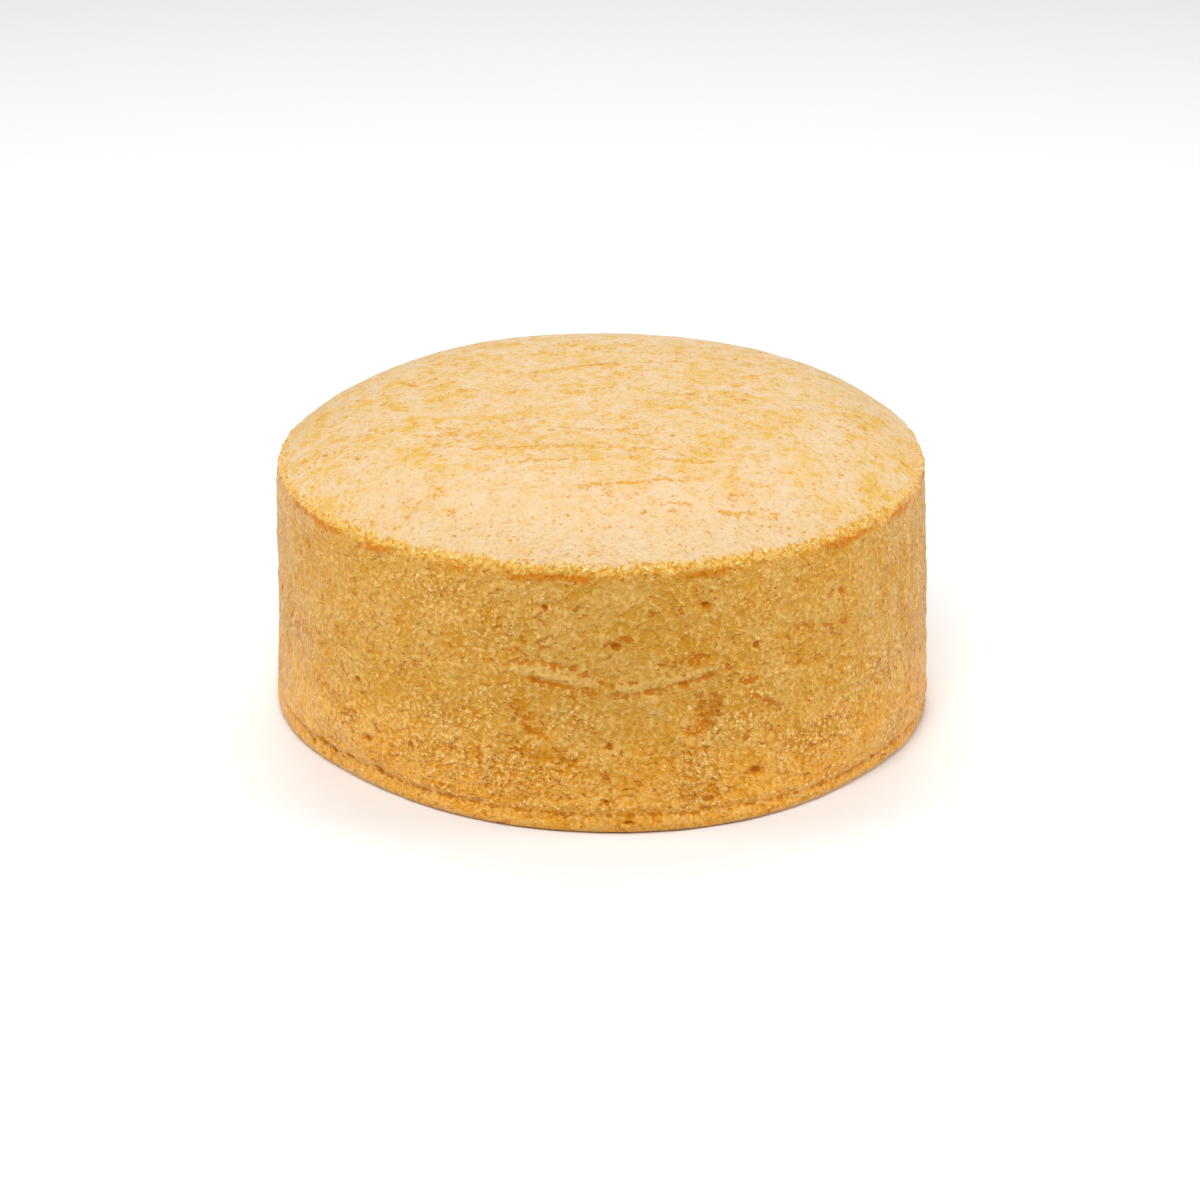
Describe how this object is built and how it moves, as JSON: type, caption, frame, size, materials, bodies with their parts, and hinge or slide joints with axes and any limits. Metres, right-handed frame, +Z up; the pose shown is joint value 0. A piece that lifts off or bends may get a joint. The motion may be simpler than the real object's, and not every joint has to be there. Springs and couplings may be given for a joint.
{
  "type": "sponge cake",
  "caption": "Plain round sponge cake, uncut and without icing, with a gently risen top, a grainy rim and a pitted golden wall.",
  "frame": {"origin": "middle of the underside, on the surface that the cake stands on", "axes": "+Z up through the top; -Y is the front, +X is to the right seen from the front"},
  "size_m": [0.1532, 0.1538, 0.0741],
  "materials": {
    "crumb": "matte baked sponge, golden wall with a paler skin on top"
  },
  "bodies": {
    "root": {"sponge_cake": "crumb"}
  },
  "joints": []
}
